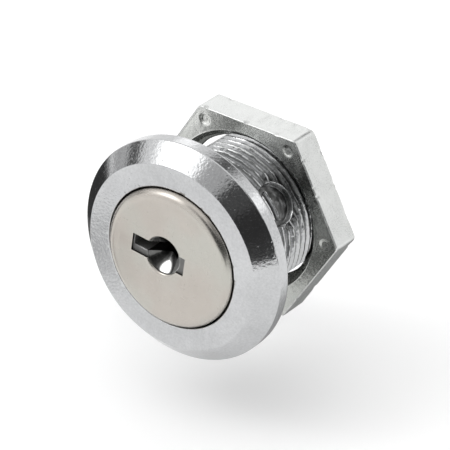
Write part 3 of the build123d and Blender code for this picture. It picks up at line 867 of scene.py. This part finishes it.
# ---------------------------------------------------------------- studio (row frame, metres)
scene = bpy.context.scene
scene.view_settings.view_transform = "Standard"
scene.view_settings.look = "None"

FLOOR_Z = Vector(CAD_BOX[0]).z - 0.0003
FLOOR_HALF = 2.0
WHITE = (1, 1, 1, 1)


def add_plate(name, points, look):
    """A single flat face through the points."""
    mesh = bpy.data.meshes.new(name)
    mesh.from_pydata(points, [], [list(range(len(points)))])
    mesh.materials.append(look)
    plate = bpy.data.objects.new(name, mesh)
    scene.collection.objects.link(plate)
    return plate


def floor_material():
    made, tree, shader, where = material("pale_floor")
    patches = tree.noise(where, 0.05, detail=3.0, roughness=0.5)
    tree.feed(shader, {
        "Base Color": tree.mix_color(patches, (0.93, 0.93, 0.93), (0.96, 0.96, 0.96)),
        "Roughness": 0.9, "Specular IOR Level": 0.1,
        "Emission Color": WHITE, "Emission Strength": 0.12})
    return made


def flag_material(name, centre, inner, outer, level):
    """Even glow out to `inner`, fading to clear near `outer`."""
    made = bpy.data.materials.new(name)
    tree = Tree(made)
    output = tree.add("OutputMaterial")
    glow = tree.add("Emission", {0: WHITE, 1: level})
    clear = tree.add("BsdfTransparent")
    place = tree.add("NewGeometry").outputs["Position"]
    distance = tree.add("VectorMath", {0: place, 1: tuple(centre)}, operation="DISTANCE")
    mask = tree.remap(distance.outputs["Value"], (inner, outer * 0.98), to=(1.0, 0.0),
                      kind="SMOOTHSTEP")
    blend = tree.add("MixShader", {0: mask, 1: clear.outputs[0], 2: glow.outputs[0]})
    tree.feed(output, {0: blend.outputs[0]})
    return made


def add_flag(name, centre, normal, inner, outer, level):
    """A round studio flag with a soft edge, seen only in reflections."""
    normal, centre = Vector(normal).normalized(), Vector(centre)
    up = Vector((0, 0, 1)) if abs(normal.z) < 0.9 else Vector((0, 1, 0))
    x = up.cross(normal).normalized()
    y = normal.cross(x)
    angles = [FULL_TURN * k / 32 for k in range(32)]
    ring = [centre + (x * math.cos(angle) + y * math.sin(angle)) * outer for angle in angles]
    flag = add_plate(name, ring, flag_material(name, centre, inner, outer, level))
    flag.visible_camera = False
    flag.visible_diffuse = False
    flag.visible_shadow = False
    flag.visible_transmission = False


# Patches of the world, each laid over the ones before:
# azimuth from -Y towards +X, elevation, radius, half width of the soft edge (degrees), strength
WORLD_BASE = 1.05
WORLD_PATCHES = [
    (-45, 45, 18, 6, 2.3), (-45, 45, 6, 5, 6.0), (4, 50, 11, 5, 0.62), (142, 28, 7, 4, 1.75),
    (-144, 29, 7, 4, 1.75), (180, 45, 10, 9, 0.12), (-88, 4, 7, 6, 0.50), (-80, 17, 7, 4, 0.13),
    (43, 15, 23, 5, 0.045), (29, 37, 12, 5, 0.10), (76, 15, 18, 6, 0.07), (100, 18, 13, 6, 0.07),
    (72, 42, 13, 6, 0.22), (106, 43, 12, 6, 0.22),
]


def direction(azimuth, elevation):
    azimuth, elevation = math.radians(azimuth), math.radians(elevation)
    return (math.sin(azimuth) * math.cos(elevation), -math.cos(azimuth) * math.cos(elevation),
            math.sin(elevation))


def build_world():
    scene.world = bpy.data.worlds.new("studio")
    tree = Tree(scene.world)
    output = tree.add("OutputWorld")
    background = tree.add("Background")
    view = tree.add("TexCoord").outputs["Generated"]
    strength = tree.add("Value").outputs[0]
    strength.default_value = WORLD_BASE
    for azimuth, elevation, radius, soft, level in WORLD_PATCHES:
        dot = tree.add("VectorMath", {0: view, 1: direction(azimuth, elevation)},
                       operation="DOT_PRODUCT").outputs["Value"]
        angle = tree.math("ARCCOSINE", tree.math("MINIMUM", dot, 1.0))
        edge = (math.radians(radius + soft), math.radians(radius - soft))
        mask = tree.remap(angle, edge, kind="SMOOTHSTEP")
        strength = tree.mix("FLOAT", mask, strength, level)
    # the camera itself sees an even pale backdrop
    camera_ray = tree.add("LightPath").outputs["Is Camera Ray"]
    strength = tree.mix("FLOAT", camera_ray, strength, 1.0)
    tree.feed(background, {"Strength": strength, "Color": WHITE})
    tree.feed(output, {0: background.outputs[0]})


# name, centre, normal, radius of the even part, outer radius, strength
FLAGS = [
    ("flag_left", (-0.0520, 0.0112, -0.0122), (0.919, -0.264, 0.292), 0.016, 0.027, 0.045),
    ("flag_floor_rear_left", (-0.0450, 0.0235, FLOOR_Z + 0.0015), (0, 0, 1),
     0.007, 0.0165, 0.14),
    ("flag_right", (0.0502, -0.0350, 0.0017), (-0.82, 0.57, 0.0), 0.006, 0.012, 0.06),
    # a disc dimmer than the floor, lying on it to the front-left and seen only in reflections:
    # painted shade of the floor
    ("painted_shade_floor_left", (-0.0360, -0.0270, FLOOR_Z + 0.0012), (0, 0, 1), 0.002, 0.017, 0.72),
    ("flag_floor_far_right", (0.215, 0.005, FLOOR_Z + 0.0013), (0, 0, 1), 0.055, 0.120, 0.35),
    ("flag_low_rear", (0.004, 0.030, FLOOR_Z + 0.001), (0, 0, 1), 0.010, 0.034, 0.30),
]


def add_overhead():
    light = bpy.data.lights.new("overhead", "AREA")
    light.shape = "SQUARE"
    light.size = 1.6
    light.energy = 3.2
    lamp = bpy.data.objects.new("overhead", light)
    lamp.location = (-0.25, -0.25, 1.5)
    # aimed at the origin
    lamp.rotation_euler = (-lamp.location).to_track_quat("-Z", "Y").to_euler()
    lamp.visible_glossy = False
    scene.collection.objects.link(lamp)


def add_camera():
    lens = bpy.data.cameras.new("camera")
    lens.lens = 240.0
    lens.sensor_width = 36.0
    lens.clip_start = 0.01
    lens.clip_end = 10.0
    camera = bpy.data.objects.new("camera", lens)
    right = Vector((0.8091, 0.5877, -0.0004))
    up = Vector((-0.2813, 0.3878, 0.8778))
    forward = Vector((-0.5160, 0.7101, -0.4790))
    turn = Matrix((right, up, -forward)).transposed()
    camera.matrix_world = Matrix.Translation((0.1834, -0.2456, 0.1699)) @ turn.to_4x4()
    scene.collection.objects.link(camera)
    scene.camera = camera


floor_corners = [(x * FLOOR_HALF, y * FLOOR_HALF, FLOOR_Z)
                 for x, y in ((-1, -1), (1, -1), (1, 1), (-1, 1))]
add_plate("floor", floor_corners, floor_material())
build_world()
for flag in FLAGS:
    add_flag(*flag)
add_overhead()
add_camera()
